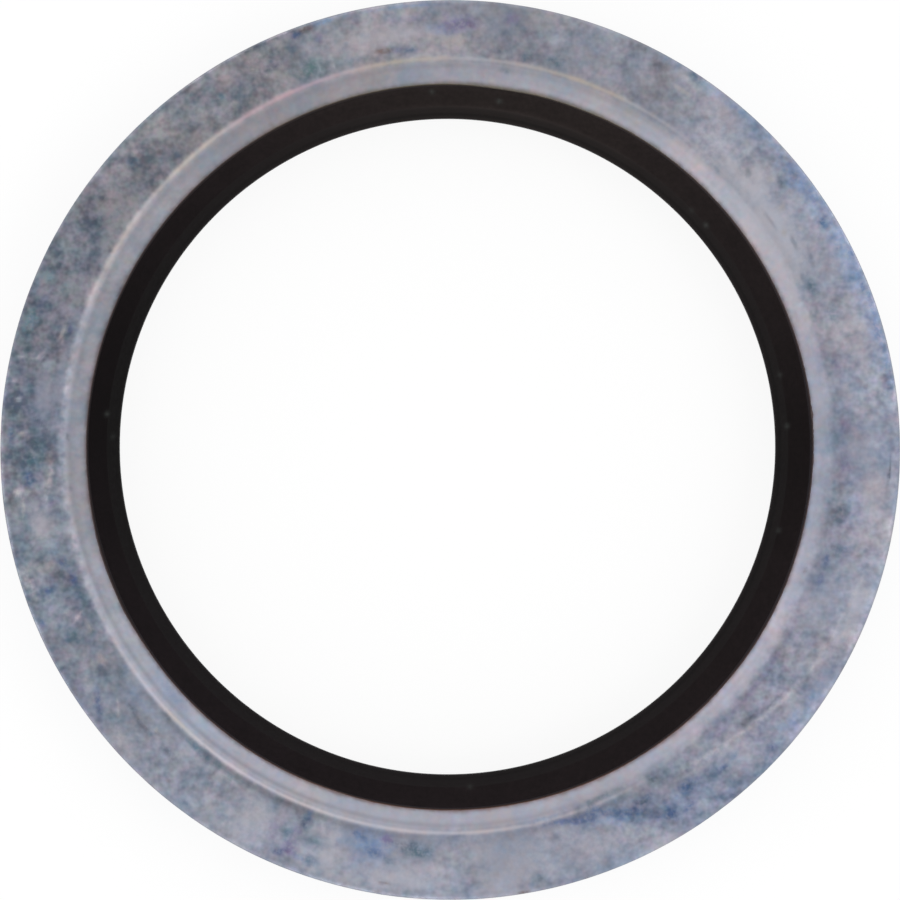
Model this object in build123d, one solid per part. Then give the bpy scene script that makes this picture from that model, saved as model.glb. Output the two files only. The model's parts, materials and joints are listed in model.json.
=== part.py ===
from build123d import *

from math import cos, radians, sin
import os

# A bonded sealing washer: a flat punched steel ring with a rubber sealing ring moulded into its bore.
# The origin is on the axis of the rubber bore, halfway through the thickness, and +Z is that axis.
# All sizes are in millimetres.

# Steel washer
WASHER_OUTER_DIAMETER = 23.80
WASHER_INNER_DIAMETER = 18.75
WASHER_THICKNESS = 2.03
DIE_ROLL_WIDTH = 0.26
DIE_ROLL_DEPTH = 0.11
LOWER_EDGE_ROUND = 0.07
FRACTURE_START = -0.15
FRACTURE_TAPER = 0.035
BORE_EDGE_BREAK = 0.12

# Land: the shallow ring that the mould presses into each face, just outside the rubber
LAND_OUTER_DIAMETER = 20.63
LAND_WALL_WIDTH = 0.19
LAND_DEPTH = 0.04

# Rubber seal
SEAL_BORE_DIAMETER = 17.36
SEAL_OUTER_DIAMETER = 19.19
BORE_WALL_LENGTH = 1.06
LIP_FOOT_DIAMETER = 18.03
LIP_FOOT_RISE = 0.05
LIP_TOP_INNER_DIAMETER = 18.82
LIP_TOP_OUTER_DIAMETER = 19.06
LIP_RISE = 0.28

# The punching and the moulding are each a little out of line with the bore
PUNCH_CENTRE = (0.070, -0.087)
MOULD_CENTRE = (0.046, -0.011)

FACE = WASHER_THICKNESS / 2
LIP_TOP = FACE + LIP_RISE
SPARE = 1.0


def turned(corners, centre):
    """The ring made by turning a closed outline of (radius, height) corners about the centre's axis."""
    outline = Polyline(*[(radius, 0, height) for radius, height in corners], close=True)
    return Pos(*centre, 0) * revolve(make_face(outline), Axis.Z, 360)


def mirrored(corners):
    """The same corners below the middle plane, taken in the other direction."""
    return [(radius, -height) for radius, height in reversed(corners)]


def rounded_edge(outer, face, width, depth):
    """Corners along the quarter ellipse from a ring's face, at height face, round to its outer wall."""
    angles = [radians(step) for step in (90, 60, 30, 0)]
    return [(outer - width + width * cos(a), face - depth + depth * sin(a)) for a in angles]


def punched_blank():
    """The ring as punched: rolled upper edge, sheared wall, tapered fracture and tumbled lower edge."""
    outer = WASHER_OUTER_DIAMETER / 2
    inner = WASHER_INNER_DIAMETER / 2
    upper_edge = rounded_edge(outer, FACE, DIE_ROLL_WIDTH, DIE_ROLL_DEPTH)
    lower_edge = rounded_edge(outer - FRACTURE_TAPER, FACE, LOWER_EDGE_ROUND, LOWER_EDGE_ROUND)
    bore_edge = [(inner, FACE - BORE_EDGE_BREAK), (inner + BORE_EDGE_BREAK, FACE)]
    corners = bore_edge + upper_edge + [(outer, FRACTURE_START)] + mirrored(lower_edge)
    return turned(corners + mirrored(bore_edge), PUNCH_CENTRE)


def land_groove():
    """What the mould presses out of the upper face: a slope down from the rubber and a short wall."""
    inner = SEAL_OUTER_DIAMETER / 2
    outer = LAND_OUTER_DIAMETER / 2
    floor = [(inner, FACE), (outer - LAND_WALL_WIDTH, FACE - LAND_DEPTH), (outer, FACE)]
    return turned(floor + [(outer, FACE + SPARE), (inner, FACE + SPARE)], MOULD_CENTRE)


def steel_washer():
    """The punched ring with the mould's land in both faces."""
    groove = land_groove()
    return punched_blank() - groove - mirror(groove, Plane.XY)


def moulded_outside():
    """The outer flanks and flat tops of the two sealing lips, solid well past the bore."""
    core = SEAL_BORE_DIAMETER / 2 - SPARE
    upper = [(core, LIP_TOP), (LIP_TOP_OUTER_DIAMETER / 2, LIP_TOP), (SEAL_OUTER_DIAMETER / 2, FACE)]
    return turned(upper + mirrored(upper), MOULD_CENTRE)


def moulded_inside():
    """The bore wall and the two slopes of each lip above it, solid well past the rubber's outside."""
    upper = [
        (SEAL_BORE_DIAMETER / 2, BORE_WALL_LENGTH / 2),
        (LIP_FOOT_DIAMETER / 2, FACE + LIP_FOOT_RISE),
        (LIP_TOP_INNER_DIAMETER / 2, LIP_TOP),
        (SEAL_OUTER_DIAMETER / 2 + SPARE, LIP_TOP),
    ]
    return turned(upper + mirrored(upper), (0, 0))


def rubber_seal(washer):
    """The rubber: it fills the washer's bore, wraps onto both faces and rises to a lip on each."""
    return (moulded_outside() & moulded_inside()) - washer


def write_part(solid, name):
    """One STEP file for one piece."""
    solid.label = name
    export_step(solid, os.path.join("parts", name + ".step"))


os.makedirs("parts", exist_ok=True)
washer_piece = steel_washer()
write_part(washer_piece, "steel_washer")
write_part(rubber_seal(washer_piece), "rubber_seal")
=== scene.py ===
import json

import bpy
import numpy as np
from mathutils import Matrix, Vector, noise


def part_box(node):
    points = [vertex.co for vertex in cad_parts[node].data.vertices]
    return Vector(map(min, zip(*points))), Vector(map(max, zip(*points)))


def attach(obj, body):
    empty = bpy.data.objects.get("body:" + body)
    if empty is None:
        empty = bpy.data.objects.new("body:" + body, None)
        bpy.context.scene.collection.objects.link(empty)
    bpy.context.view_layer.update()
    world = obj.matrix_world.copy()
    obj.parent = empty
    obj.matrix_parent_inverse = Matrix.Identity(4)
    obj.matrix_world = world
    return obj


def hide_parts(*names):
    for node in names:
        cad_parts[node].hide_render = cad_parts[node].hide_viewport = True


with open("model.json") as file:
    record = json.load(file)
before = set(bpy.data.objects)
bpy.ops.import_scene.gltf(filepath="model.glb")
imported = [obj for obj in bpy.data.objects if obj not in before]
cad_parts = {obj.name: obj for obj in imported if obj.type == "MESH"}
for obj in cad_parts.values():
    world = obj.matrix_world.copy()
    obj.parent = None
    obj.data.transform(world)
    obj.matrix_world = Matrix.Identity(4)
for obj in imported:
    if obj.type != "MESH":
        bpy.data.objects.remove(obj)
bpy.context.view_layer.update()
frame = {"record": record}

# A bonded sealing washer: a zinc-plated punched ring with a black rubber seal moulded into its bore.
# Shapes are worked out in millimetres and scaled to metres when a mesh is made. Angles are in
# degrees about the bore axis, counted from +X towards +Y.
MM = 0.001
BORE = next(mount for mount in frame["record"]["mounts"] if mount["name"] == "bore")

# ---------------------------------------------------------------- sizes, from the frame

washer_low, washer_high = (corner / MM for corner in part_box("steel_washer"))
seal_low, seal_high = (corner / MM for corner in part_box("rubber_seal"))

FACE = washer_high.z
LIP_TOP = seal_high.z
OUTER = (washer_high.x - washer_low.x) / 2
SEAL_OUTER = (seal_high.x - seal_low.x) / 2
BORE_CENTRE = (0.0, 0.0)
PUNCH_CENTRE = ((washer_high.x + washer_low.x) / 2, (washer_high.y + washer_low.y) / 2)
MOULD_CENTRE = ((seal_high.x + seal_low.x) / 2, (seal_high.y + seal_low.y) / 2)

# Washer
METAL_BORE = 9.375
BORE_EDGE_BREAK = 0.12
LAND_CENTRE = (MOULD_CENTRE[0] + 0.017, MOULD_CENTRE[1] + 0.037)
LAND_FOOT = 10.125
LAND_OUTER = 10.315
LAND_DEPTH = 0.04
DIE_ROLL_WIDTH = 0.26
DIE_ROLL_DEPTH = 0.11
FRACTURE_START = -0.15
FRACTURE_TAPER = 0.035
LOWER_ROUND = 0.07

# Seal
SEAL_BORE = BORE["dims"]["r_mm"]
BORE_WALL = BORE["dims"]["length_mm"] / 2
LIP_FOOT = 9.015
LIP_FOOT_HEIGHT = FACE + 0.05
LIP_TOP_INNER = 9.41
LIP_TOP_OUTER = 9.53

# Relief, as depths: the sway of the washer's faces, and the drawn lines and torn lumps of its wall
SWAY_DEPTH = 0.0015
DRAWN_DEPTH = 0.0022
TORN_DEPTH = 0.013

# How fine the meshes are: the steps round a ring and round a corner, how much coarser the underside is,
# and the spacing on a wall that nothing shows.
SEGMENTS = 852
ROUND_STEPS = 4
UNDERSIDE_COARSER = 1.5
HIDDEN_SPACING = 0.6

# ---------------------------------------------------------------- colours, as sRGB 0-255

FACE_GREY = (134, 138, 151)
LAND_GREY = (159, 160, 171)
WALL_GREY = (150, 153, 163)
TORN_GREY = (132, 135, 146)
CREST_HIGHLIGHT = (174, 172, 180)
SCRATCH = (176, 174, 180)

PALE = (167, 167, 176)
DULL = (138, 140, 153)
PINK_GREY = (159, 156, 165)
BEIGE = (158, 155, 156)

RIM_BLUE = (124, 139, 166)
BLUE = (118, 134, 162)
NAVY = (83, 100, 131)
TEAL = (88, 108, 122)
MOSS = (98, 114, 116)
VIOLET = (116, 111, 140)
STRAW = (172, 162, 142)
CREAM = (187, 180, 169)
ROSE = (177, 153, 163)
ICE = (176, 180, 200)
RUBBER_BLACK = (26, 21, 22)
RUBBER_EDGE = (70, 58, 56)
FILM_BROWN = (96, 84, 84)
FILM_RUST = (112, 86, 76)
FILM_STRAW = (112, 106, 92)
DUST_GREY = (74, 78, 76)
SLATE = (96, 101, 112)
BROWN = (110, 98, 98)

# Tints that multiply a colour: dark and light flecks of the plate, its faint casts and its own tint
DARK_WARM = (0.69, 0.64, 0.64)
DARK_COOL = (0.52, 0.66, 0.76)
LIGHT_WARM = (1.60, 1.46, 1.37)
LIGHT_COOL = (1.44, 1.48, 1.54)
PINK_CAST = (1.045, 0.965, 1.01)
GREEN_CAST = (0.955, 1.035, 0.99)
PLATE_TINT = (0.985, 0.975, 0.96)


def linear(colour):
    """An sRGB colour, 0-255, as linear numbers."""
    share = np.asarray(colour, float) / 255
    return np.where(share <= 0.04045, share / 12.92, ((share + 0.055) / 1.055) ** 2.4)


def shade(multiplier):
    """A tint as a shader's colour."""
    return (*multiplier, 1.0)


# ---------------------------------------------------------------- turning an outline into a mesh


def towards(here, there, distance):
    """The point that lies a distance from here on the way to there, at most just short of halfway."""
    run = there - here
    length = np.hypot(run[0], run[1])
    return here + run * min(distance / length, 0.49)


def outline(corners):
    """Stations round a closed outline, each (radius, height, centre x, centre y).

    A corner is (radius, height, centre, size of its rounding, spacing of the run after it)."""
    places = [np.array((radius, height, *centre)) for radius, height, centre, _, _ in corners]
    stations = []
    for index, (here, corner) in enumerate(zip(places, corners)):
        before = places[index - 1]
        after = places[(index + 1) % len(places)]
        rounding, spacing = corner[3], corner[4]
        if rounding:
            start = towards(here, before, rounding)
            end = towards(here, after, rounding)
            for t in np.linspace(0, 1, ROUND_STEPS + 1):
                stations.append((1 - t) ** 2 * start + 2 * t * (1 - t) * here + t**2 * end)
        else:
            end = here
            stations.append(here)
        next_rounding = corners[(index + 1) % len(corners)][3]
        stop = towards(after, here, next_rounding) if next_rounding else after
        run = stop - end
        pieces = max(1, round(np.hypot(run[0], run[1]) / spacing))
        stations.extend(end + run * step / pieces for step in range(1, pieces))
    return np.array(stations)


def mirrored(corners, closing_spacing):
    """The corners below the middle plane that continue those above it, in the other direction.

    The run that closes the outline, from the last of them to the first above it, has its own spacing."""
    spacings = [closing_spacing] + [UNDERSIDE_COARSER * corner[4] for corner in corners[:-1]]
    back = []
    for corner, spacing in zip(reversed(corners), reversed(spacings)):
        radius, height, centre, rounding, _ = corner
        back.append((radius, -height, centre, rounding, spacing))
    return back


class Ring:
    """A turned surface: a grid of points, one row for each station and one column for each angle."""

    def __init__(self, stations):
        self.angle = np.arange(SEGMENTS) * 2 * np.pi / SEGMENTS
        ones = np.ones((1, SEGMENTS))
        self.radius = stations[:, :1] * ones
        self.height = stations[:, 1:2] * ones
        self.centre = stations[:, 2:]
        after = np.roll(stations, -1, axis=0)[:, :2]
        before = np.roll(stations, 1, axis=0)[:, :2]
        run = after - before
        run /= np.linalg.norm(run, axis=1, keepdims=True)
        self.out_radius = -run[:, 1:2]
        self.out_height = run[:, :1]

    def points(self):
        """The grid's points, in millimetres."""
        x = self.centre[:, :1] + self.radius * np.cos(self.angle)
        y = self.centre[:, 1:] + self.radius * np.sin(self.angle)
        return np.stack([x, y, self.height], axis=2)

    def press(self, depth):
        """Moves the surface in by a depth, along its own slope."""
        self.radius = self.radius - depth * self.out_radius
        self.height = self.height - depth * self.out_height

    def polar(self):
        """Each point's angle in degrees and radius about the bore axis."""
        points = self.points()
        x, y = points[..., 0], points[..., 1]
        return np.degrees(np.arctan2(y, x)) % 360, np.hypot(x, y)


def ring_mesh(name, ring):
    """The ring's grid as a closed mesh of four-sided faces."""
    points = ring.points()
    rows, columns = points.shape[:2]
    index = np.arange(rows * columns).reshape(rows, columns)
    right = np.roll(index, -1, axis=0)
    ahead = np.roll(index, -1, axis=1)
    faces = np.stack([index, right, np.roll(right, -1, axis=1), ahead], axis=2)
    mesh = bpy.data.meshes.new(name)
    mesh.from_pydata((points.reshape(-1, 3) * MM).tolist(), [], faces.reshape(-1, 4).tolist())
    mesh.polygons.foreach_set("use_smooth", [True] * len(mesh.polygons))
    strip_map(mesh, rows, columns)
    piece = bpy.data.objects.new(name, mesh)
    bpy.context.scene.collection.objects.link(piece)
    return piece


def strip_map(mesh, rows, columns):
    """A UV map that unrolls the ring into three strips, so that a texture made from it stays sharp."""
    strips = 3
    length = columns // strips
    row, column = np.divmod(np.arange(rows * columns), columns)
    strip, along = np.divmod(column, length)
    left, right = along / length, (along + 1) / length
    near, far = (strip + row / rows) / strips, (strip + (row + 1) / rows) / strips
    corners = np.stack([left, near, left, far, right, far, right, near], axis=1)
    layer = mesh.uv_layers.new(name="OFBake")
    layer.uv.foreach_set("vector", corners.ravel())


def store(piece, name, values):
    """Keeps four numbers for each point of a piece, as a colour and its alpha, for its material."""
    layer = piece.data.attributes.new(name, "FLOAT_COLOR", "POINT")
    layer.data.foreach_set("color", values.reshape(-1, 4).astype(np.float32).ravel())


# ---------------------------------------------------------------- small patterns


def ramp(low, high, value):
    """0 below low, 1 above high, and a smooth step between."""
    share = np.clip((value - low) / (high - low), 0, 1)
    return share * share * (3 - 2 * share)


def apart(angle, centre):
    """How far an angle is from another, in degrees, either way round."""
    return (angle - centre + 180) % 360 - 180


def reach(points, centre):
    """How far each point is from the axis through a centre."""
    return np.hypot(points[..., 0] - centre[0], points[..., 1] - centre[1])


def hill(distance, width):
    """1 at no distance, falling smoothly to 0 over about twice the width."""
    return np.exp(-((distance / width) ** 2))


def shades(angle, places):
    """The sum of smooth hills round the ring, each (angle, how far it reaches in degrees, height)."""
    return sum(height * hill(apart(angle, middle), far) for middle, far, height in places)


def slow(angle, *swells):
    """1 and slow swells round the ring, each (how much, where it is greatest, how many to a turn)."""
    return 1 + sum(much * np.cos(np.radians(count * (angle - top))) for much, top, count in swells)


def round_the_ring(angle, stops):
    """Values between the stops, each (angle, value), all the way round."""
    places, values = zip(*stops)
    return np.interp(angle, places, values, period=360)


def blended(colour, share, other):
    """The colour, moved towards the other by a share at each point."""
    return colour + share[..., None] * (other - colour)


def bluer(colour, much):
    """The colour with more blue and less red where much is above 1, and the other way below it."""
    return colour * np.stack([much**-0.5, np.ones_like(much), much**0.5], axis=2)


def waves(points, size, seed, octaves=1):
    """Smooth noise from about -1 to 1 at each point, with lumps of the given size."""
    flat = points.reshape(-1, 3) / size + seed * 17.3
    if octaves == 1:
        found = [noise.noise(Vector(point)) for point in flat]
    else:
        found = [noise.fractal(Vector(point), 0.8, 2.0, octaves) for point in flat]
    return np.array(found).reshape(points.shape[:2])


# ---------------------------------------------------------------- the washer


def rounded_edge(outer, face, width, depth, turns):
    """Corners along the quarter ellipse between a face, at height face, and the outer wall."""
    inwards = np.sign(face) * depth
    return [
        (outer - width * (1 - np.cos(turn)), face - inwards * (1 - np.sin(turn)), PUNCH_CENTRE, 0, 0.1)
        for turn in np.radians(turns)
    ]


def washer_outline():
    """From the top of the bore out over the upper face, down the wall and back along the underside."""
    upper = [
        (METAL_BORE, FACE - BORE_EDGE_BREAK, PUNCH_CENTRE, 0, 0.2),
        (METAL_BORE + BORE_EDGE_BREAK, FACE, PUNCH_CENTRE, 0, 0.2),
        (SEAL_OUTER, FACE, MOULD_CENTRE, 0, 0.045),
        (LAND_FOOT, FACE - LAND_DEPTH, LAND_CENTRE, 0.05, 0.03),
        (LAND_OUTER, FACE, LAND_CENTRE, 0.06, 0.055),
    ]
    die_roll = rounded_edge(OUTER, FACE, DIE_ROLL_WIDTH, DIE_ROLL_DEPTH, np.linspace(90, 0, 9))
    fracture = [(OUTER, FRACTURE_START, PUNCH_CENTRE, 0, 0.07)]
    lower_edge = rounded_edge(OUTER - FRACTURE_TAPER, -FACE, LOWER_ROUND, LOWER_ROUND, np.linspace(0, 90, 5))
    return upper + die_roll + fracture + lower_edge + mirrored(upper, HIDDEN_SPACING)


def wall_zones(ring, around):
    """Where the punch left the outer wall burnished, down to an uneven line, and where torn, below it."""
    tear_line = FRACTURE_START + 0.10 * waves(around, 2.2, 61) + 0.07 * waves(around, 0.45, 62, 2)
    on_wall = ramp(OUTER - 0.10, OUTER - 0.04, ring.radius)
    above_corner = ramp(-FACE + 0.02, -FACE + 0.14, ring.height)
    below_roll = ramp(FACE - 0.03, FACE - DIE_ROLL_DEPTH - 0.05, ring.height)
    torn = on_wall * ramp(tear_line + 0.03, tear_line - 0.05, ring.height) * above_corner
    return on_wall * (1 - torn) * below_roll * above_corner, torn


# The points and their angles and radii are those of the plain outline, before its relief is pressed in.
washer_ring = Ring(outline(washer_outline()))
points = washer_ring.points()
angle, radius = washer_ring.polar()
around = points * (1, 1, 0)
burnished, torn = wall_zones(washer_ring, around)
drawn = waves(around + points[..., 2:] * 0.03, 0.14, 2) + 0.7 * waves(around, 0.5, 63)
lumps = waves(points * (1, 1, 0.8), 0.20, 3, 3).clip(-1, 1)
on_face = ramp(SEAL_OUTER + 0.05, LAND_OUTER + 0.1, radius)
relief = SWAY_DEPTH * (1 + waves(points, 1.6, 1)) * on_face
relief += DRAWN_DEPTH * burnished * (1 + drawn.clip(-1, 1)) + torn * TORN_DEPTH * (1 + lumps)
washer_ring.press(relief)

washer = ring_mesh("zinc_washer", washer_ring)

# ---------------------------------------------------------------- the washer's marks

# Marks on each face, by tint: where the middle is as an angle and a radius, how far the mark reaches
# round the ring and across it, how far its length tilts outwards, and how much of the tint shows.
CLEAN_MARKS = {
    RIM_BLUE: [
        (222.5, 9.80, 0.52, 0.15, 0, 0.60),
    ],
    PALE: [
        (34, 10.45, 1.70, 0.50, 0, 0.92),
        (30, 10.30, 1.20, 0.25, 0, 0.60),
        (41, 10.95, 0.45, 0.32, 0, 0.75),
        (49, 11.00, 0.60, 0.70, 0, 0.35),
        (44, 10.45, 1.00, 0.28, 0, 0.75),
        (222, 11.60, 0.80, 0.30, 0, 0.50),
        (213.5, 11.45, 0.30, 0.20, 0, 0.50),
        (242.3, 11.15, 0.45, 0.70, 0, 0.70),
        (253.6, 11.15, 0.36, 0.75, 0, 0.80),
        (263.5, 11.52, 1.00, 0.30, 0, 0.75),
        (281, 11.05, 2.00, 0.60, 0, 0.35),
        (338, 11.62, 1.30, 0.24, 3, 0.60),
        (8.5, 10.65, 0.10, 0.10, 0, 0.60),
        (173.8, 11.42, 0.08, 0.10, 0, 0.90),
        (57, 11.61, 0.20, 0.10, 0, 0.70),
    ],
    DULL: [
        (173, 10.72, 0.62, 0.36, 0, 0.85),
        (169, 10.42, 0.90, 0.12, 0, 0.70),
        (84, 11.10, 0.40, 0.30, 0, 0.40),
    ],
    PINK_GREY: [
        (190.6, 10.92, 0.42, 0.32, 0, 0.85),
        (98, 10.98, 1.50, 0.26, 0, 0.80),
        (354.5, 11.28, 0.75, 0.35, 0, 0.50),
        (290, 11.30, 0.90, 0.35, 0, 0.45),
        (308, 10.80, 0.90, 0.08, 8, 0.50),
        (14, 11.20, 0.90, 0.25, 0, 0.35),
    ],
    BEIGE: [
        (88.6, 10.74, 0.28, 0.24, 0, 0.45),
        (39.6, 11.08, 0.10, 0.08, 0, 0.60),
        (35.6, 10.86, 0.10, 0.10, 0, 0.80),
        (32.4, 10.55, 0.10, 0.10, 0, 0.80),
        (56.4, 11.28, 0.25, 0.06, 0, 0.60),
        (163.5, 10.61, 0.28, 0.08, 0, 0.80),
        (178.3, 11.25, 0.08, 0.12, 0, 0.80),
        (196.5, 11.35, 0.14, 0.45, 0, 0.60),
        (211.5, 10.72, 0.15, 0.10, 0, 0.60),
        (206.8, 10.60, 0.15, 0.08, 0, 0.70),
        (224.2, 10.75, 0.08, 0.06, 0, 0.80),
        (262.4, 10.86, 0.10, 0.08, 0, 0.60),
        (122, 10.65, 0.10, 0.12, 0, 0.60),
        (135.5, 11.60, 0.70, 0.20, 0, 0.30),
    ],
}

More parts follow.
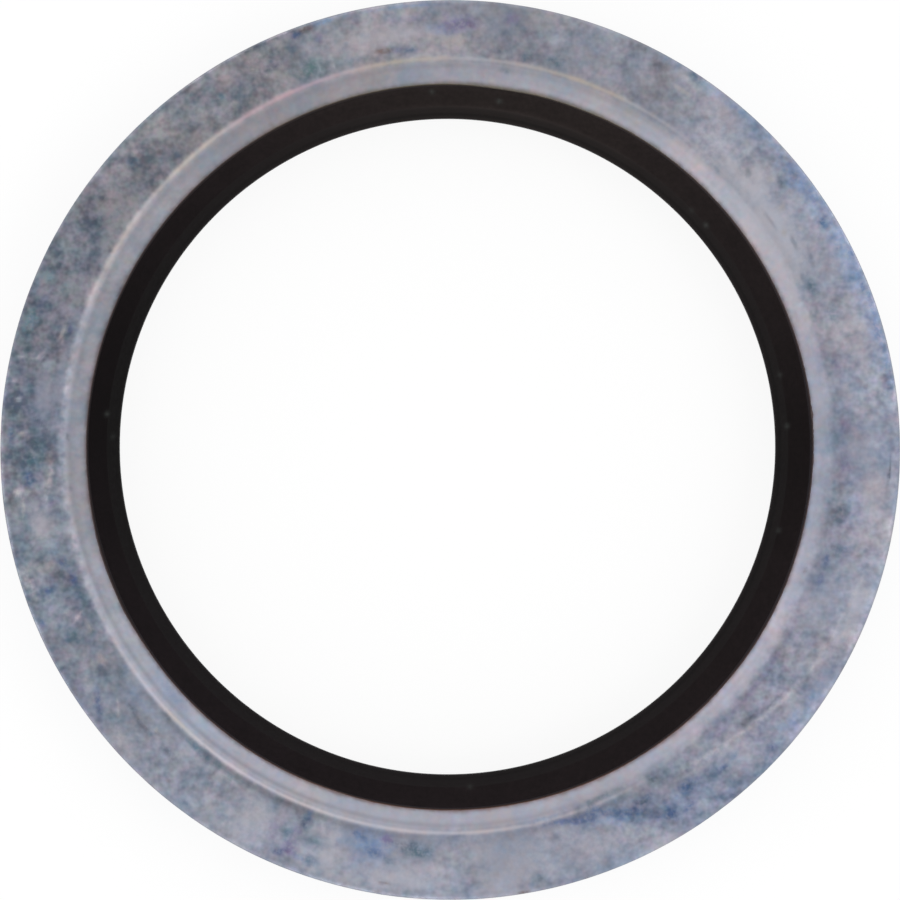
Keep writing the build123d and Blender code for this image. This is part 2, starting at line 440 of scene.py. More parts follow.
STAINS = {
    PALE: [
        (198, 11.65, 0.50, 0.14, 0, 0.60),
    ],
    RIM_BLUE: [
        (26.5, 11.69, 3.40, 0.26, 0, 0.78),
        (13, 11.81, 1.30, 0.13, 0, 0.85),
        (37.8, 11.63, 0.80, 0.28, 0, 0.60),
        (52, 11.76, 1.30, 0.13, 0, 0.60),
        (106, 11.70, 0.35, 0.09, 0, 0.90),
        (96, 11.69, 1.10, 0.05, 0, 0.60),
        (325, 11.75, 0.90, 0.22, 0, 0.55),
        (320.5, 11.60, 0.50, 0.15, 0, 0.60),
        (308.5, 11.78, 0.70, 0.12, 0, 0.30),
        (284.5, 10.17, 0.45, 0.06, 0, 0.50),
        (219, 10.55, 0.50, 0.10, 0, 0.40),
        (194, 10.68, 0.30, 0.20, 0, 0.40),
    ],
    BLUE: [
        (90.4, 11.05, 0.40, 0.16, 0, 0.60),
        (259, 10.74, 0.70, 0.34, 0, 0.75),
        (350, 10.90, 1.00, 0.25, 0, 0.35),
        (251, 11.55, 0.45, 0.12, 0, 0.60),
        (297, 11.05, 0.50, 0.25, 20, 0.45),
        (292.5, 10.72, 0.80, 0.10, 17, 0.60),
        (295.5, 10.75, 0.90, 0.16, 17, 0.50),
        (304, 11.20, 0.80, 0.22, 10, 0.40),
        (257, 11.30, 0.25, 0.25, 0, 0.40),
    ],
    NAVY: [
        (30.8, 11.55, 0.16, 0.12, 0, 0.80),
        (38.1, 11.64, 0.18, 0.10, 0, 0.60),
        (27.0, 11.58, 0.10, 0.08, 0, 0.50),
        (15.2, 11.76, 0.30, 0.07, 0, 0.50),
        (21, 11.76, 0.14, 0.08, 0, 0.70),
        (25.8, 11.84, 0.24, 0.08, 0, 0.50),
        (18.6, 11.81, 0.24, 0.08, 0, 0.40),
        (8, 11.80, 0.35, 0.09, 0, 0.30),
        (34.5, 11.68, 0.24, 0.09, 0, 0.35),
        (110, 11.60, 0.16, 0.09, 0, 0.80),
        (97, 10.56, 0.18, 0.11, 0, 0.40),
        (95.3, 10.55, 0.20, 0.10, 0, 0.55),
        (160.8, 11.40, 0.25, 0.08, 10, 0.45),
        (163, 10.45, 0.15, 0.07, 0, 0.60),
        (178.5, 11.55, 0.22, 0.12, 0, 0.70),
        (184, 11.10, 0.20, 0.12, 0, 0.90),
        (199.5, 10.48, 0.24, 0.14, 0, 0.80),
        (196.8, 10.65, 0.20, 0.14, 0, 0.70),
        (199.8, 11.22, 0.14, 0.26, 0, 0.70),
        (203.5, 11.70, 0.15, 0.10, 0, 0.70),
        (216.3, 11.45, 0.50, 0.10, 29, 0.65),
        (249.3, 10.50, 0.10, 0.22, 0, 0.75),
        (260.2, 10.90, 0.20, 0.12, 0, 0.60),
        (256.8, 10.50, 0.16, 0.08, 0, 0.60),
        (287.8, 10.38, 0.60, 0.10, 6, 0.75),
        (291.8, 10.40, 0.40, 0.13, 8, 0.65),
        (247.2, 11.60, 0.18, 0.12, 0, 0.80),
        (290, 10.52, 0.22, 0.07, 10, 0.70),
        (294.2, 10.62, 0.45, 0.10, 19, 0.65),
        (296, 10.80, 0.30, 0.10, 19, 0.60),
        (291.5, 10.46, 0.35, 0.12, 0, 0.60),
        (297.3, 10.87, 0.30, 0.11, 15, 0.80),
        (298.8, 11.12, 0.28, 0.12, 25, 0.35),
        (301.2, 11.38, 0.22, 0.16, 20, 0.95),
        (303.8, 11.45, 0.20, 0.10, 0, 0.70),
        (299.2, 10.70, 0.25, 0.09, -10, 0.90),
        (305, 11.00, 0.26, 0.18, 0, 0.80),
        (310.5, 11.20, 0.20, 0.08, 0, 0.70),
        (312.8, 11.15, 0.15, 0.08, 0, 0.50),
        (317.1, 11.70, 0.13, 0.12, 0, 0.80),
        (343.5, 10.45, 0.20, 0.10, 0, 0.60),
        (340.5, 10.47, 0.20, 0.12, 0, 0.60),
    ],
    TEAL: [
        (23.8, 10.53, 0.28, 0.18, 0, 0.70),
        (19, 10.75, 0.30, 0.15, 0, 0.55),
        (15.5, 11.00, 0.07, 0.14, 0, 0.50),
        (56, 11.72, 0.30, 0.12, 0, 0.60),
        (74.5, 10.55, 0.35, 0.14, 0, 0.60),
        (78.5, 10.50, 0.20, 0.10, 0, 0.60),
        (83, 10.53, 0.25, 0.08, 0, 0.50),
        (103.2, 10.50, 0.35, 0.10, 0, 0.40),
        (123, 11.03, 0.13, 0.13, 0, 0.80),
        (163.3, 11.50, 0.60, 0.24, 0, 0.95),
        (158.7, 11.68, 0.35, 0.10, 0, 0.80),
        (157, 11.35, 0.20, 0.12, 0, 0.60),
        (148.5, 11.30, 0.25, 0.15, 0, 0.25),
        (202.5, 10.50, 0.35, 0.15, 0, 0.65),
        (157.2, 10.97, 0.20, 0.12, 0, 0.60),
        (144.8, 10.73, 0.25, 0.10, 0, 0.50),
        (81.3, 10.06, 0.18, 0.08, 0, 0.30),
        (137.8, 11.20, 0.18, 0.16, 0, 0.80),
        (176, 11.50, 0.40, 0.15, 0, 0.50),
        (179.6, 10.90, 0.25, 0.30, 0, 0.60),
        (182, 11.00, 0.22, 0.30, 0, 0.85),
        (189.3, 11.35, 0.22, 0.15, 0, 0.70),
        (207, 11.10, 0.30, 0.15, -20, 0.70),
        (232.5, 10.40, 0.38, 0.11, 0, 0.80),
        (229.5, 10.36, 0.40, 0.07, 0, 0.60),
        (237, 10.40, 0.50, 0.08, 0, 0.60),
        (247.5, 11.05, 0.16, 0.18, 0, 0.70),
        (251.7, 11.50, 0.25, 0.15, 0, 0.60),
        (251.3, 11.03, 0.35, 0.10, 0, 0.50),
        (266, 10.74, 0.36, 0.18, 0, 0.85),
        (262, 11.05, 0.15, 0.10, 0, 0.60),
        (282, 11.65, 0.15, 0.15, 0, 0.60),
        (294, 10.11, 0.50, 0.07, 0, 0.60),
        (350.2, 10.52, 0.30, 0.14, 0, 0.55),
        (345, 10.62, 0.18, 0.25, 0, 0.50),
    ],
    MOSS: [
        (110, 10.62, 0.55, 0.22, 0, 0.80),
    ],
    VIOLET: [
        (88.2, 11.19, 0.44, 0.21, -8, 0.80),
        (94.5, 11.35, 0.50, 0.10, 0, 0.40),
        (81.3, 11.45, 0.22, 0.16, 0, 0.60),
        (107.6, 11.30, 0.10, 0.14, 0, 0.60),
        (12, 10.50, 0.25, 0.12, 0, 0.45),
        (3.3, 10.50, 0.28, 0.14, 0, 0.45),
        (188, 10.60, 0.10, 0.10, 0, 0.70),
        (245.6, 11.20, 0.16, 0.42, 0, 0.45),
        (248.5, 11.44, 0.20, 0.20, 0, 0.95),
        (248.5, 11.20, 0.10, 0.12, 0, 0.60),
        (248.6, 10.85, 0.12, 0.12, 0, 0.60),
        (261.2, 10.50, 0.16, 0.12, 0, 1.00),
        (313.5, 10.42, 0.40, 0.12, 0, 0.50),
        (324, 10.32, 1.60, 0.07, 0, 0.35),
        (357.6, 10.50, 0.33, 0.18, 0, 0.60),
        (213, 11.60, 0.25, 0.12, 0, 0.50),
    ],
    SLATE: [
        (88.2, 11.14, 0.30, 0.13, -8, 0.35),
        (38.6, 11.24, 0.26, 0.07, 27, 0.45),
        (42.5, 10.76, 0.14, 0.08, 30, 0.40),
        (30.7, 10.63, 0.18, 0.06, 8, 0.50),
        (27.3, 10.82, 0.22, 0.06, 10, 0.45),
        (35, 10.42, 0.30, 0.05, 0, 0.30),
        (22, 10.42, 0.50, 0.06, 0, 0.35),
        (147, 10.97, 0.28, 0.16, 0, 0.75),
        (139, 10.98, 0.16, 0.10, 0, 0.60),
        (298.9, 10.71, 0.16, 0.06, 0, 0.80),
        (249.1, 10.60, 0.14, 0.14, 0, 0.60),
        (116, 11.35, 0.70, 0.35, 0, 0.40),
        (61, 11.50, 0.28, 0.18, 0, 0.50),
        (141.5, 10.90, 0.35, 0.20, 0, 0.50),
        (116, 11.72, 1.30, 0.06, 0, 0.70),
        (127, 11.70, 1.20, 0.05, 0, 0.50),
        (122.5, 10.50, 0.60, 0.13, 0, 0.60),
        (114.6, 11.02, 0.30, 0.06, 0, 0.60),
        (141.5, 11.15, 0.28, 0.17, 0, 0.50),
        (134.5, 11.20, 0.26, 0.18, 0, 0.45),
        (152, 10.75, 0.80, 0.25, 0, 0.40),
        (176.6, 10.80, 0.32, 0.06, -48, 0.80),
        (171.3, 11.08, 0.20, 0.08, 0, 0.70),
        (167.6, 10.88, 0.30, 0.06, 25, 0.80),
        (165.2, 10.64, 0.35, 0.05, 20, 0.75),
        (178.5, 10.05, 0.15, 0.07, 0, 0.50),
        (178.6, 10.40, 0.12, 0.10, 0, 0.60),
        (186.3, 10.03, 0.10, 0.06, 0, 0.30),
        (187, 11.60, 0.25, 0.10, 0, 0.60),
        (185, 10.50, 0.20, 0.08, 0, 0.50),
        (182, 10.50, 0.25, 0.12, 0, 0.60),
        (198, 10.80, 0.18, 0.14, 0, 0.70),
        (222, 10.90, 0.35, 0.07, 0, 0.70),
        (219.6, 10.83, 0.20, 0.06, 0, 0.70),
        (215.5, 10.56, 0.14, 0.07, 0, 0.60),
        (227.6, 10.93, 0.30, 0.10, 0, 0.60),
        (264, 10.60, 0.30, 0.10, 0, 0.60),
        (274.5, 11.20, 0.80, 0.40, 0, 0.30),
        (301.7, 10.35, 0.13, 0.08, 0, 0.95),
        (305, 10.50, 0.70, 0.12, 0, 0.35),
        (317.5, 10.75, 0.40, 0.05, 5, 0.50),
        (322, 10.95, 0.45, 0.05, 8, 0.50),
        (356.4, 11.70, 0.33, 0.03, 3, 0.80),
    ],
    BROWN: [
        (108.8, 11.65, 0.20, 0.09, 0, 0.85),
        (99, 10.60, 0.25, 0.07, 0, 0.70),
        (261.8, 11.65, 0.14, 0.05, 0, 0.60),
        (260.9, 11.93, 0.12, 0.05, 0, 0.70),
        (279.7, 11.96, 0.16, 0.05, 0, 0.70),
        (340.9, 10.01, 0.05, 0.05, 0, 0.50),
    ],
}

# Fine pale lines: half their width, how much shows, and the places that they pass.
SCRATCHES = [
    (0.070, 0.32, [(305, 10.50), (307, 10.56), (312.7, 10.75), (318.8, 10.95)]),
    (0.070, 0.32, [(318.8, 10.95), (323.7, 11.14), (328.6, 11.29)]),
    (0.055, 0.30, [(328.6, 11.29), (335.5, 11.34), (339.6, 11.42), (345, 11.62)]),
    (0.045, 0.40, [(205.2, 10.90), (204.2, 10.62)]),
    (0.045, 0.30, [(203.8, 11.08), (203.0, 10.84)]),
    (0.050, 0.35, [(189.2, 11.36), (187.2, 11.28), (185.8, 11.52)]),
    (0.070, 0.35, [(185.9, 11.45), (186.3, 11.05)]),
    (0.090, 0.40, [(188.5, 10.72), (185.6, 10.62), (183.4, 10.50), (181.0, 10.52)]),
    (0.045, 0.25, [(171.6, 11.74), (171.1, 11.30)]),
    (0.050, 0.30, [(168.2, 11.60), (168.0, 11.12), (166.6, 10.95)]),
    (0.040, 0.35, [(117.2, 11.22), (115.9, 10.92)]),
    (0.045, 0.35, [(108.8, 10.72), (108.6, 10.46)]),
    (0.045, 0.35, [(106.8, 10.76), (106.7, 10.46)]),
    (0.050, 0.30, [(222.6, 11.75), (219.0, 11.20), (217.6, 11.00)]),
    (0.045, 0.30, [(201.2, 11.45), (200.8, 11.10)]),
]


def blot(angle, radius, mark, ragged):
    """How much of a mark's tint shows at each point."""
    middle, centre, length, width, tilt, strength = mark
    along = np.radians(apart(angle, middle)) * centre
    across = radius - centre
    turn = np.radians(tilt)
    far = (along * np.cos(turn) + across * np.sin(turn)) / length
    wide = (across * np.cos(turn) - along * np.sin(turn)) / width
    return strength * np.exp(-(((far**2 + wide**2) * ragged) ** 1.3))


def line_near(angle, radius, width, path):
    """How near each point is to a path of straight runs, as 1 on it and 0 well away from it."""
    near = np.zeros(angle.shape)
    for (angle_a, radius_a), (angle_b, radius_b) in zip(path, path[1:]):
        along = np.radians(apart(angle, angle_a)) * radius_a
        across = radius - radius_a
        run_along = np.radians(angle_b - angle_a) * radius_a
        run_across = radius_b - radius_a
        share = (along * run_along + across * run_across) / (run_along**2 + run_across**2)
        share = share.clip(0, 1)
        distance = np.hypot(along - share * run_along, across - share * run_across)
        near = np.maximum(near, hill(distance, width))
    return near


def painted(angle, radius, points):
    """The marks' colour at each point, how far they cover the ground, and how clean they leave it."""
    ragged = (1 + 0.8 * waves(points, 0.30, 30) + 0.5 * waves(points, 0.12, 31)).clip(0.25, 3)
    colour = np.zeros(angle.shape + (3,))
    cover = np.zeros(angle.shape)
    clean = np.zeros(angle.shape)
    for group in (CLEAN_MARKS, STAINS):
        for tint, marks in group.items():
            for mark in marks:
                amount = blot(angle, radius, mark, ragged)
                colour = blended(colour, amount, linear(tint))
                cover += amount * (1 - cover)
                clean += amount * ((group is CLEAN_MARKS) - clean)
    for width, strength, path in SCRATCHES:
        amount = strength * line_near(angle, radius, width, path)
        colour = blended(colour, amount, linear(SCRATCH))
        cover += amount * (1 - cover)
    return colour / np.maximum(cover, 1e-3)[..., None], cover, clean


# ---------------------------------------------------------------- the washer's tones

# Along the crest of the land's wall is a painted highlight, with a faint tint of the plating here and
# there: how much of the highlight shows at some angles, how far it spreads in millimetres, and the tints,
# each with its angle, how far round it reaches in degrees, and how much shows.
CREST_RADIUS = 10.238
CREST_HIGHLIGHT_SHOWS = [
    (20, 0.0), (50, 0.5), (62, 0.85), (140, 0.9), (165, 0.75), (173, 0.55), (180, 0.2), (190, 0.3),
    (200, 0.5), (210, 0.8), (225, 0.98), (262, 0.95), (275, 0.95), (290, 0.6), (305, 0.0),
]
CREST_HIGHLIGHT_SPREADS = [
    (60, 0.065), (120, 0.068), (150, 0.085), (168, 0.12), (195, 0.10), (215, 0.075),
    (233, 0.052), (262, 0.056), (290, 0.055),
]
CREST_TINTS = [
    (STRAW, 70, 8, 0.55),
    (STRAW, 97, 6, 0.6),
    (ROSE, 113, 8, 0.9),
    (ROSE, 121, 3, 0.6),
    (CREAM, 132, 6, 0.7),
    (STRAW, 150, 7, 0.3),
    (ICE, 220, 3, 0.5),
    (STRAW, 226, 3, 0.4),
    (ICE, 238, 4, 0.5),
]

# The shade along the outside of that crest, which is a light instead where it is below 0, and the shade
# along its inside: where each is greatest, and how deep it is at some angles.
FOOT_RADIUS = 10.40
FOOT_DEPTHS = [
    (15, 0.08), (60, 0.02), (85, 0.0), (110, 0.06), (130, 0.04), (145, -0.05), (170, -0.12),
    (182, 0.0), (200, -0.04), (210, -0.14), (217, -0.06), (224, 0.20), (234, 0.42), (262, 0.26),
    (272, 0.02), (290, 0.24), (303, 0.06), (320, 0.0),
]
HOLLOW_RADIUS = 10.05
HOLLOW_DEPTHS = [
    (30, 0.0), (60, 0.14), (95, 0.10), (120, 0.04), (170, 0.04), (200, 0.14), (235, 0.24),
    (275, 0.16), (300, 0.13), (320, 0.0),
]

# Broad shades round the ring: an angle, how far it reaches in degrees, and how much lighter it is there.
OUTER_SHADES = [
    (20, 12, -0.08), (52, 18, -0.10), (81, 8, -0.12), (98, 9, 0.09), (138, 9, 0.05), (157, 10, -0.06),
    (181, 9, 0.06), (216, 12, -0.07), (248, 9, -0.08), (274, 9, 0.03), (289, 9, -0.05), (356, 14, -0.05),
]
INNER_SHADES = [
    (60, 12, -0.07), (98, 7, -0.06), (142, 10, -0.18), (160, 9, 0.05), (184, 12, 0.06),
    (203, 9, -0.15), (246, 9, -0.10), (300, 14, -0.06),
]
# On the land, these lighter and darker places are painted light and shade.
LAND_SHADES = [
    (0, 12, -0.06), (60, 14, -0.18), (120, 10, -0.03), (172, 40, -0.045), (191, 11, -0.13),
    (235, 14, -0.04), (292, 9, -0.09), (334, 18, 0.08),
]

# In the same way, how much brighter a painted highlight beside the rubber is, how much stronger the
# mottling, and how much bluer the land.
RUBBER_EDGE_HIGHLIGHT_RADIUS = 9.74
RUBBER_EDGE_HIGHLIGHTS = [(325, 45, 0.09), (62, 35, 0.10)]
GRAIN_SHADES = [(18, 9, 0.2), (150, 30, 0.55), (193, 20, 0.45), (275, 26, -0.25), (306, 9, 0.25)]
LAND_BLUES = [
    (42, 22, -0.09), (62, 10, -0.05), (110, 12, -0.05), (158, 10, -0.05), (224, 12, 0.07),
    (290, 8, 0.07), (2, 16, 0.08),
]


def film_colour(angle):
    """The rubber's thin edge is a rusty brown below, a plain brown on the left and straw above."""
    colour = np.ones(angle.shape + (3,)) * linear(FILM_BROWN)
    rusty = hill(apart(angle, 275), 45)[..., None]
    straw = hill(apart(angle, 85), 35)[..., None]
    return colour + rusty * (linear(FILM_RUST) - colour) + straw * (linear(FILM_STRAW) - colour)


def crest_highlight_colour(angle):
    """The painted highlight on the crest: lighter on the lower left, with its tints."""
    colour = np.ones(angle.shape + (3,)) * linear(CREST_HIGHLIGHT)
    colour *= slow(angle, (0.14, 235, 1), (0.06, 215, 2))[..., None]
    for tint, middle, far, strength in CREST_TINTS:
        colour = blended(colour, strength * hill(apart(angle, middle), far), linear(tint))
    return colour


def face_colour(angle, radius, foot):
    """The dull face: lighter on the right, bluer below, and with its own shades near the land."""
    light = slow(angle, (0.20, 338, 1), (0.09, 55, 2), (0.05, 3, 3)) + shades(angle, OUTER_SHADES)
    near_land = slow(angle, (0.06, 155, 1)) + shades(angle, INNER_SHADES) - 0.02
    light *= 1 + ramp(11.5, 10.8, radius) * (near_land - 1)
    blue = slow(angle, (0.05, 274, 1), (0.035, 16, 2), (0.03, 59, 3))
    return bluer(linear(FACE_GREY) * (light * (1 - foot))[..., None], blue)


def land_colour(angle, seal_reach, arcs, hollow):
    """The smooth land: fine arcs round it, painted light and shade round the ring, a painted highlight
    beside the rubber, and a painted shade beside its wall.
    """
    light = slow(angle, (0.09, 299, 1), (0.113, 49, 2), (0.044, 52, 3), (0.058, 51, 4))
    light += shades(angle, LAND_SHADES) - 0.02
    rubber_edge_highlight = hill(seal_reach - RUBBER_EDGE_HIGHLIGHT_RADIUS, 0.07) * shades(angle, RUBBER_EDGE_HIGHLIGHTS)
    colour = linear(LAND_GREY) * (light * (1 + 0.05 * arcs + rubber_edge_highlight - hollow))[..., None]
    return bluer(colour, 1 + shades(angle, LAND_BLUES))


def wall_colour(torn, drawn, lumps):
    """The outer wall: upright drawn lines where it is burnished, and darker lumps where it is torn."""
    lined = linear(WALL_GREY) * (1 + 0.11 * drawn)[..., None]
    return blended(lined, torn, linear(TORN_GREY) * (1 + 0.25 * lumps)[..., None])


# The underside carries the same kinds of marks as the upper face, but turned round.
UNDERSIDE_TURN = 250
upper_side = washer_ring.height >= 0
mark_angle = np.where(upper_side, angle, (UNDERSIDE_TURN - angle) % 360)
near_face = ramp(FACE - 0.13, FACE - 0.03, np.abs(washer_ring.height))
outside_bore = ramp(METAL_BORE - 0.1, METAL_BORE + 0.1, washer_ring.radius)

# The land's wall carries a painted highlight all along its left. On the right that highlight doesn't show,
# and the land fades into the face over a wider band of painted shade.
wall_reach = reach(points, LAND_CENTRE)
seal_reach = reach(points, MOULD_CENTRE)
shady = hill(apart(mark_angle, 352), 62)
land = 1 - ramp(10.12 - 0.30 * shady, 10.26 - 0.02 * shady, wall_reach)
land *= outside_bore
crest_highlight = round_the_ring(mark_angle, CREST_HIGHLIGHT_SHOWS) * (0.95 + 0.10 * waves(points, 2.5, 7))
crest_highlight *= hill(wall_reach - CREST_RADIUS, round_the_ring(mark_angle, CREST_HIGHLIGHT_SPREADS))
crest_highlight = crest_highlight.clip(0, 1)
foot = round_the_ring(mark_angle, FOOT_DEPTHS) * hill(wall_reach - FOOT_RADIUS, 0.10)
hollow = round_the_ring(mark_angle, HOLLOW_DEPTHS) * hill(wall_reach - HOLLOW_RADIUS, 0.075)
arcs = waves(np.stack([wall_reach * 5, 0.02 * angle, 0 * angle], axis=2), 1.0, 12, 3)

ground = face_colour(mark_angle, radius, foot)
ground = blended(ground, land, land_colour(mark_angle, seal_reach, arcs, hollow))
ground[..., 1] *= slow(mark_angle, (0.014, 160, 1))
ground = blended(ground, crest_highlight, crest_highlight_colour(mark_angle))
ground = blended(wall_colour(torn, drawn, lumps), near_face, ground)

# The edges of the wall are brighter: a painted highlight, and rubbed plating.
rim_highlight_and_wear = hill(washer_ring.radius - (OUTER - 0.05), 0.05)
rim_highlight_and_wear *= hill(np.abs(washer_ring.height) - (FACE - 0.06), 0.06)
ground *= (1 + 0.16 * rim_highlight_and_wear * (1 + waves(points, 0.7, 64)))[..., None]

# A thin brown film of rubber runs out on to the metal.
film_ragged = 1 + 0.5 * waves(around, 0.12, 51) + 0.4 * waves(around, 0.4, 52)
film = hill((seal_reach - SEAL_OUTER).clip(0, 1), 0.058 * film_ragged) * outside_bore
ground = blended(ground, 0.75 * film * near_face, film_colour(mark_angle))

stain, cover, clean = painted(mark_angle, radius, points)
cover *= near_face * outside_bore

# How strong the mottling is: less on clean marks, the land, the painted highlight on its crest and
# the burnished wall.
grain = (0.95 + 0.45 * waves(points, 1.7, 5, 2)).clip(0.35, 2)
grain += shades(mark_angle, GRAIN_SHADES) + 0.3 * hill(apart(mark_angle, 168), 24) * ramp(10.9, 11.3, radius)
grain *= (1 - 0.85 * clean) * (1 - 0.72 * land) * (1 - 0.85 * crest_highlight) * (1 - 0.75 * burnished)
cast_share = grain + 0.45 * land

store(washer, "ground", np.concatenate([ground, grain[..., None]], axis=2))
store(washer, "stain", np.concatenate([stain, cover[..., None]], axis=2))
store(washer, "zone", np.stack([burnished, torn, clean, cast_share], axis=2))

# ---------------------------------------------------------------- the seal

# Where the moulded edge wanders in or out on the metal: an angle, how wide, and how far in millimetres.
EDGE_WANDER = [
    (198, 7, 0.030),
    (207, 4, 0.024),
    (81, 6, -0.041),
    (69, 5, -0.018),
    (252, 7, -0.018),
    (2, 12, 0.034),
    (330, 12, 0.018),
    (165, 18, -0.010),
]

# Specks of dust on the rubber: their size, and for each an angle, a radius and how much shows.
DUST_SIZE = 0.065
DUST = [
    (92.5, 9.38, 0.36),
    (81.5, 9.23, 0.45),
    (44.1, 8.98, 0.18),
    (40.6, 9.00, 0.42),
    (12.2, 8.99, 0.22),
    (3.5, 8.99, 0.32),
    (345.8, 9.03, 0.28),
    (273.8, 9.01, 0.22),
    (178.3, 8.85, 0.15),
    (174.5, 9.04, 0.34),
]

# Painted light and shade on the black round the ring, and the radii of the painted shadow line above
# the bore wall and of the painted highlight on the edge between the two slopes.
RUBBER_SHADES = [(80, 42, 0.75), (170, 32, -0.56), (0, 16, -0.38), (225, 40, -0.10)]
SHADOW_RADIUS = 8.79
SLOPE_EDGE_RADIUS = 8.99


def seal_outline():
    """From the bore wall up the lip's two slopes, over its top, down to the metal and along the joint."""
    upper = [
        (SEAL_BORE, BORE_WALL, BORE_CENTRE, 0.05, 0.05),
        (LIP_FOOT, LIP_FOOT_HEIGHT, BORE_CENTRE, 0.035, 0.035),
        (LIP_TOP_INNER, LIP_TOP, BORE_CENTRE, 0.03, 0.03),
        (LIP_TOP_OUTER, LIP_TOP, MOULD_CENTRE, 0.03, 0.03),
        (SEAL_OUTER - 0.012, FACE + 0.02, MOULD_CENTRE, 0.02, 0.02),
        (SEAL_OUTER + 0.014, FACE - 0.004, MOULD_CENTRE, 0, 0.05),
        (METAL_BORE + BORE_EDGE_BREAK, FACE - 0.01, PUNCH_CENTRE, 0, 0.2),
        (METAL_BORE, FACE - BORE_EDGE_BREAK, PUNCH_CENTRE, 0, 0.3),
    ]
    return upper + mirrored(upper, 0.3)


def rubber_tone(angle, radius, points):
    """How light the black is: painted light and shade round the ring, painted shade on the slope inside,
    a painted shadow line and a painted highlight on the edge.
    """
    tone = 1.02 + shades(angle, RUBBER_SHADES)
    inner_slope_shade = ramp(LIP_FOOT + 0.02, LIP_FOOT - 0.06, radius)
    shadow_line = hill(radius - SHADOW_RADIUS, 0.035) * slow(angle, (0.6, 30, 1))
    lit_edge = hill(radius - SLOPE_EDGE_RADIUS, 0.05) * hill(apart(angle, 78), 24)
    tone *= 1 - (0.25 + 0.2 * hill(apart(angle, 180), 50)) * inner_slope_shade
    tone *= (1 - 0.4 * shadow_line.clip(0, 1)) * (1 + 0.5 * lit_edge)
    return tone * (1 + 0.10 * waves(points, 0.8, 60, 3))


def rubber_black(angle, tone):
    """The black, a little yellower above and bluer on the left."""
    black = linear(RUBBER_BLACK) * tone[..., None]
    black[..., 1] *= 1 + 0.06 * hill(apart(angle, 80), 50)
    black[..., 2] *= 1 - 0.06 * hill(apart(angle, 80), 50) + 0.07 * hill(apart(angle, 200), 70)
    return black


def dusted(skin, angle, radius, upper_side):
    """The rubber's colour with the specks of dust that lie on its upper side."""
    for middle, centre, strength in DUST:
        along = np.radians(apart(angle, middle)) * centre
        speck = strength * hill(np.hypot(along, radius - centre), DUST_SIZE) * upper_side
        skin = blended(skin, speck, linear(DUST_GREY))
    return skin


seal_ring = Ring(outline(seal_outline()))
points = seal_ring.points()
angle, radius = seal_ring.polar()
around = points * (1, 1, 0)
wander = shades(angle, EDGE_WANDER)
ragged = 0.008 * waves(around, 0.25, 40) + 0.005 * waves(around, 0.08, 41)
ragged *= 1 + 2.5 * hill(apart(angle, 2), 9)
at_edge = ramp(SEAL_OUTER - 0.06, SEAL_OUTER, seal_ring.radius)
seal_ring.radius = seal_ring.radius + at_edge * (wander + ragged)
seal = ring_mesh("lip_seal", seal_ring)

# The flank down to the metal is paler, and it feathers out into the brown film.
edge = seal_ring.radius - wander * at_edge
flank = ramp(SEAL_OUTER - 0.075, SEAL_OUTER - 0.02, edge) * ramp(FACE - 0.02, FACE, np.abs(seal_ring.height))
feather = ramp(SEAL_OUTER - 0.03, SEAL_OUTER + 0.01, edge)
skin = rubber_black(angle, rubber_tone(angle, seal_ring.radius, points))
skin = blended(skin, 0.25 * flank, linear(RUBBER_EDGE))
skin = blended(skin, 0.8 * feather, film_colour(angle))
skin = dusted(skin, angle, radius, seal_ring.height > 0)
store(seal, "skin", np.concatenate([skin, np.ones_like(flank)[..., None]], axis=2))

# ---------------------------------------------------------------- materials


def node(tree, kind, inputs=None, **settings):
    """A new shader node with these settings, and each input set to a number or linked to a socket."""
    made = tree.nodes.new(kind)
    for name, value in settings.items():
        setattr(made, name, value)
    for name, value in (inputs or {}).items():
        if isinstance(value, bpy.types.NodeSocket):
            tree.links.new(value, made.inputs[name])
        else:
            made.inputs[name].default_value = value
    return made


def material(name):
    """A new material without nodes, and its tree."""
    made = bpy.data.materials.new(name)
    made.use_nodes = True
    made.node_tree.nodes.clear()
    return made, made.node_tree


def place(tree, stretch=(1, 1, 1)):
    """Where a point is on the piece, in millimetres, stretched along the axes."""
    at = node(tree, "ShaderNodeTexCoord").outputs["Object"]
    scale = tuple(share / MM for share in stretch)
    return node(tree, "ShaderNodeVectorMath", {0: at, 1: scale}, operation="MULTIPLY").outputs[0]


def cloud(tree, at, scale, detail=2.0, roughness=0.5, offset=0.0):
    """Noise with about this many lumps to a millimetre."""
    moved = node(tree, "ShaderNodeVectorMath", {0: at, 1: (offset,) * 3}, operation="ADD").outputs[0]
    inputs = {"Vector": moved, "Scale": scale, "Detail": detail, "Roughness": roughness}
    return node(tree, "ShaderNodeTexNoise", inputs).outputs["Fac"]


def clouds(tree, at, scale, detail, roughness, offset=0.0):
    """Three such noises at once, each with its own lumps."""
    moved = node(tree, "ShaderNodeVectorMath", {0: at, 1: (offset,) * 3}, operation="ADD").outputs[0]
    inputs = {"Vector": moved, "Scale": scale, "Detail": detail, "Roughness": roughness}
    found = node(tree, "ShaderNodeTexNoise", inputs).outputs["Color"]
    return node(tree, "ShaderNodeSeparateColor", {0: found}).outputs


def specks(tree, at, scale):
    """Scattered spots, about this many to a millimetre: how much of one is here, its tint and its tone."""
    found = node(tree, "ShaderNodeTexVoronoi", {"Vector": at, "Scale": scale}).outputs
    chance, tint, tone = node(tree, "ShaderNodeSeparateColor", {0: found["Color"]}).outputs
    near = ranged(tree, found["Distance"], 0.50, 0.15)
    return maths(tree, "MULTIPLY", near, ranged(tree, chance, 0.45, 0.85)), tint, tone


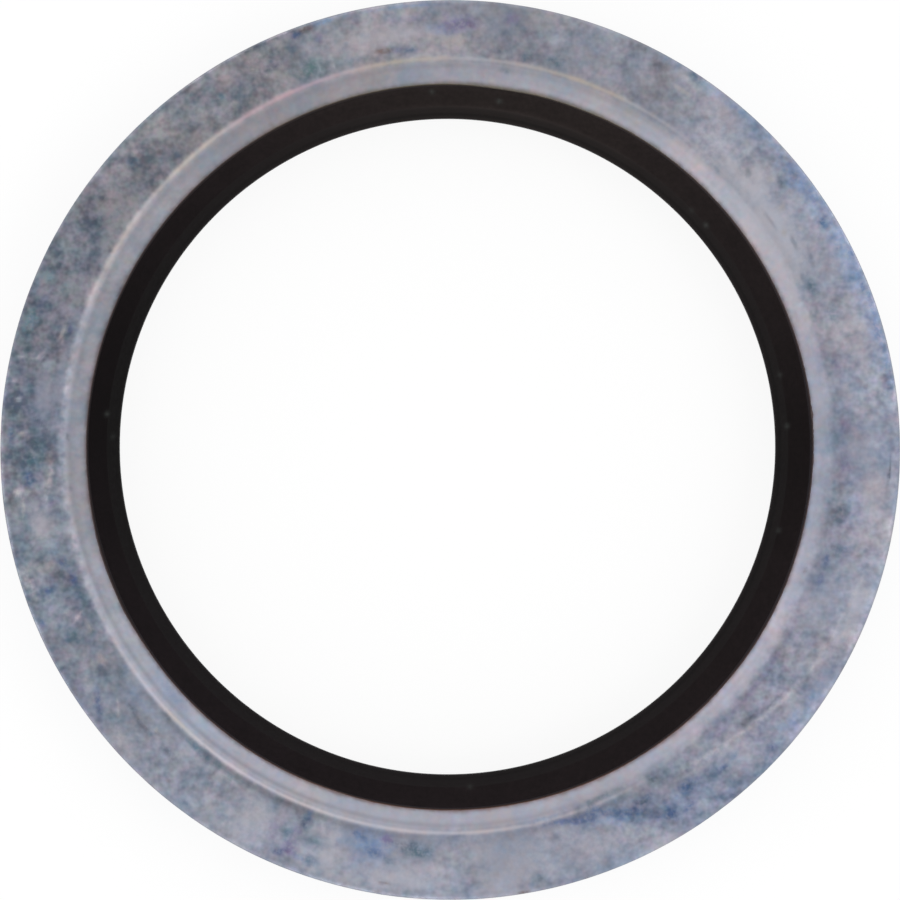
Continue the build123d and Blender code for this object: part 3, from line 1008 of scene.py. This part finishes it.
def summed(tree, *parts):
    """The sum of (value, weight) parts, each value taken from its middle, 0.5."""
    total = 0.0
    for value, weight in parts:
        centred = maths(tree, "SUBTRACT", value, 0.5)
        total = maths(tree, "ADD", total, maths(tree, "MULTIPLY", centred, weight))
    return total


def maths(tree, operation, first, second=0.0):
    """One operation on two numbers or sockets."""
    return node(tree, "ShaderNodeMath", {0: first, 1: second}, operation=operation).outputs[0]


def ranged(tree, value, low, high, to_low=0.0, to_high=1.0):
    """The value, carried from one range to another and kept within it."""
    inputs = {"Value": value, "From Min": low, "From Max": high, "To Min": to_low, "To Max": to_high}
    return node(tree, "ShaderNodeMapRange", inputs).outputs["Result"]


def mixed(tree, share, first, second, blend_type="MIX"):
    """Two colours, mixed or multiplied by a share."""
    inputs = {0: share, 6: first, 7: second}
    return node(tree, "ShaderNodeMix", inputs, data_type="RGBA", blend_type=blend_type).outputs[2]


def attribute(tree, name):
    """A stored attribute's red, green, blue and fourth number, and its colour."""
    read = node(tree, "ShaderNodeAttribute", attribute_name=name)
    split = node(tree, "ShaderNodeSeparateColor", {0: read.outputs["Color"]})
    return (*split.outputs[:3], read.outputs["Alpha"], read.outputs["Color"])


def finished(tree, inputs, bump_height, bump_depth):
    """Ends a material in a Principled shader, with a bump of this depth in millimetres."""
    raised = node(tree, "ShaderNodeBump", {"Height": bump_height, "Distance": bump_depth * MM})
    shader = node(tree, "ShaderNodeBsdfPrincipled", {**inputs, "Normal": raised.outputs["Normal"]})
    node(tree, "ShaderNodeOutputMaterial", {"Surface": shader.outputs[0]})


def fleck_light(tree, flecks, spot, spot_tone, grain):
    """How light each fleck is, from 0 to 1."""
    spot_light = maths(tree, "MULTIPLY", spot, ranged(tree, spot_tone, 0.35, 0.55, 0.07, -0.08))
    grains = maths(tree, "ADD", summed(tree, (flecks, 1.25)), spot_light)
    return ranged(tree, maths(tree, "MULTIPLY", grains, grain), -0.24, 0.24)


def fleck_coolness(tree, at, hues, spot, spot_tint, clean):
    """How blue each fleck is, from 0 to 1."""
    spot_hue = maths(tree, "MULTIPLY", spot, ranged(tree, spot_tint, 0.0, 1.0, -0.10, 0.14))
    broad = cloud(tree, at, 0.6, 1.3, 1.0)
    cool = maths(tree, "ADD", summed(tree, (hues, 1.1), (broad, -0.30)), spot_hue)
    cool = maths(tree, "MULTIPLY", cool, ranged(tree, clean, 0.0, 1.0, 1.0, 0.4))
    return ranged(tree, cool, -0.16, 0.16)


def faint_cast(tree, at, casts, cast_share):
    """A faint pink or green cast over the grey."""
    fine = cloud(tree, at, 3.0, 1.7, 1.0, 91.0)
    cast = maths(tree, "MULTIPLY", summed(tree, (casts, 0.4), (fine, 0.6)), cast_share)
    return mixed(tree, ranged(tree, cast, -0.12, 0.12), shade(PINK_CAST), shade(GREEN_CAST))


def stained(tree, at, ground, stain, cover, clean):
    """The ground under its stains, which are patchy apart from the clean ones."""
    patchy = ranged(tree, cloud(tree, at, 4.0, 2.0, 0.9, 31.0), 0.35, 0.62, -0.50, 0.30)
    patchy = maths(tree, "MULTIPLY", patchy, maths(tree, "SUBTRACT", 1.0, clean))
    shown = maths(tree, "MULTIPLY", cover, maths(tree, "ADD", 1.0, patchy))
    return mixed(tree, shown, ground, stain)


def zinc():
    """Dull zinc plate: a blue-grey ground, mottled with dark and light flecks, and stained."""
    made, tree = material("zinc_plate")
    at = place(tree)
    grain, ground = attribute(tree, "ground")[3:]
    burnished, torn, clean, cast_share = attribute(tree, "zone")[:4]
    cover, stain = attribute(tree, "stain")[3:]

    flecks, hues, casts = clouds(tree, at, 0.6, 3.7, 1.0)
    spot, spot_tint, spot_tone = specks(tree, at, 4.5)
    light = fleck_light(tree, flecks, spot, spot_tone, grain)
    cool = fleck_coolness(tree, at, hues, spot, spot_tint, clean)
    dark_fleck = mixed(tree, cool, shade(DARK_WARM), shade(DARK_COOL))
    light_fleck = mixed(tree, cool, shade(LIGHT_WARM), shade(LIGHT_COOL))
    speckle = mixed(tree, light, dark_fleck, light_fleck)

    colour = stained(tree, at, ground, stain, cover, clean)
    for tint in (speckle, faint_cast(tree, at, casts, cast_share), shade(PLATE_TINT)):
        colour = mixed(tree, 1.0, colour, tint, "MULTIPLY")
    rough = ranged(tree, light, 0.2, 0.8, 0.58, 0.46)
    rough = maths(tree, "SUBTRACT", rough, maths(tree, "MULTIPLY", burnished, 0.22))
    lines = cloud(tree, place(tree, (1, 1, 0.06)), 14.0, 3.0, 0.7)
    gravel = cloud(tree, at, 9.0, 3.0, 0.7)
    relief = mixed(tree, torn, mixed(tree, burnished, flecks, lines), gravel)
    inputs = {"Base Color": colour, "Metallic": 1.0, "Roughness": rough}
    finished(tree, inputs, relief, 0.010)
    return made


def rubber():
    """Black nitrile rubber, matt from the mould, with a thin brown feather edge on the metal."""
    made, tree = material("nitrile_rubber")
    at = place(tree)
    skin = attribute(tree, "skin")[4]
    fine = cloud(tree, at, 7.0, 3.0, 0.6)
    mottle = mixed(tree, ranged(tree, fine, 0.3, 0.7), shade((0.82,) * 3), shade((1.18,) * 3))
    inputs = {
        "Base Color": mixed(tree, 1.0, skin, mottle, "MULTIPLY"),
        "Roughness": ranged(tree, fine, 0.3, 0.7, 0.52, 0.66),
        "Specular IOR Level": 0.045,
    }
    finished(tree, inputs, fine, 0.003)
    return made


for piece, made, slot, replaced in (
    (washer, zinc(), "zinc_plated_steel", "steel_washer"),
    (seal, rubber(), "black_rubber", "rubber_seal"),
):
    piece.data.materials.append(made)
    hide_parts(replaced)
    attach(piece, "root")

# ---------------------------------------------------------------- camera, floor and light

# The washer's outer edge in the picture, which is 900 pixels wide: its diameter and its centre.
PICTURE_PIXELS = 900
WASHER_PIXELS = 900.24
WASHER_CENTRE_PIXELS = (449.72, 449.41)
CAMERA_HEIGHT = 600.0
SENSOR = 36.0

FLOOR_REACH = 4000.0
FLOOR_GREY = 0.85
FLOOR_GLOW = 1.04
WORLD_LIGHT = 0.85
WHITE = (1.0, 1.0, 1.0, 1.0)

# The lamps' distance and sizes are in metres.
LAMP_DISTANCE = 0.40


def top_camera():
    """A long lens straight above the upper face."""
    scale = 2 * OUTER / WASHER_PIXELS
    middle = (PICTURE_PIXELS - 1) / 2
    x = PUNCH_CENTRE[0] + (middle - WASHER_CENTRE_PIXELS[0]) * scale
    y = PUNCH_CENTRE[1] - (middle - WASHER_CENTRE_PIXELS[1]) * scale
    data = bpy.data.cameras.new("camera")
    data.sensor_width = SENSOR
    data.lens = SENSOR * CAMERA_HEIGHT / (PICTURE_PIXELS * scale)
    camera = bpy.data.objects.new("camera", data)
    camera.location = Vector((x, y, FACE + CAMERA_HEIGHT)) * MM
    bpy.context.scene.collection.objects.link(camera)
    bpy.context.scene.camera = camera


def background_rays(tree):
    """1 for rays that see the background as the camera does: straight, mirrored or through glass."""
    path = node(tree, "ShaderNodeLightPath").outputs
    seen = maths(tree, "MAXIMUM", path["Is Camera Ray"], path["Is Glossy Ray"])
    return maths(tree, "MAXIMUM", seen, path["Is Transmission Ray"])


def white_floor():
    """A white floor under the lower lip, bright enough to read as white and still hold a soft shadow."""
    made, tree = material("white_floor")
    matt = node(tree, "ShaderNodeBsdfDiffuse", {"Color": shade((FLOOR_GREY,) * 3)})
    glow = node(tree, "ShaderNodeEmission", {"Color": WHITE, "Strength": FLOOR_GLOW})
    share = maths(tree, "MULTIPLY", background_rays(tree), 0.85)
    shader = node(tree, "ShaderNodeMixShader", {0: share, 1: matt.outputs[0], 2: glow.outputs[0]})
    node(tree, "ShaderNodeOutputMaterial", {"Surface": shader.outputs[0]})
    mesh = bpy.data.meshes.new("floor")
    corners = [
        Vector((x * FLOOR_REACH, y * FLOOR_REACH, -LIP_TOP)) * MM
        for x, y in ((-1, -1), (1, -1), (1, 1), (-1, 1))
    ]
    mesh.from_pydata(corners, [], [(0, 1, 2, 3)])
    mesh.materials.append(made)
    floor = bpy.data.objects.new("floor", mesh)
    bpy.context.scene.collection.objects.link(floor)


def white_world():
    """Even light from all round, under a background that reads as white."""
    world = bpy.data.worlds.new("world")
    bpy.context.scene.world = world
    world.use_nodes = True
    tree = world.node_tree
    tree.nodes.clear()
    strength = ranged(tree, background_rays(tree), 0.0, 1.0, WORLD_LIGHT, 1.0)
    sky = node(tree, "ShaderNodeBackground", {"Color": WHITE, "Strength": strength})
    node(tree, "ShaderNodeOutputWorld", {"Surface": sky.outputs[0]})


def softbox(name, azimuth, elevation, size, radiance):
    """A square lamp that faces the washer, with the brightness of its surface."""
    data = bpy.data.lights.new(name, "AREA")
    data.size = size
    data.energy = radiance * np.pi * size**2
    lamp = bpy.data.objects.new(name, data)
    turn, tilt = np.radians(azimuth), np.radians(elevation)
    out = Vector((np.cos(turn) * np.cos(tilt), np.sin(turn) * np.cos(tilt), np.sin(tilt)))
    lamp.location = out * LAMP_DISTANCE
    lamp.rotation_mode = "QUATERNION"
    lamp.rotation_quaternion = out.to_track_quat("Z", "Y")
    lamp.visible_camera = False
    bpy.context.scene.collection.objects.link(lamp)


top_camera()
white_floor()
white_world()
softbox("key", -12, 54, 0.22, 1.2)
softbox("right_low", 28, 14, 0.12, 2.4)
softbox("left_low", 196, 16, 0.16, 2.0)
softbox("front_low", 262, 22, 0.10, 2.2)
softbox("back_low", 112, 18, 0.14, 2.0)
bpy.context.scene.view_settings.view_transform = "Standard"
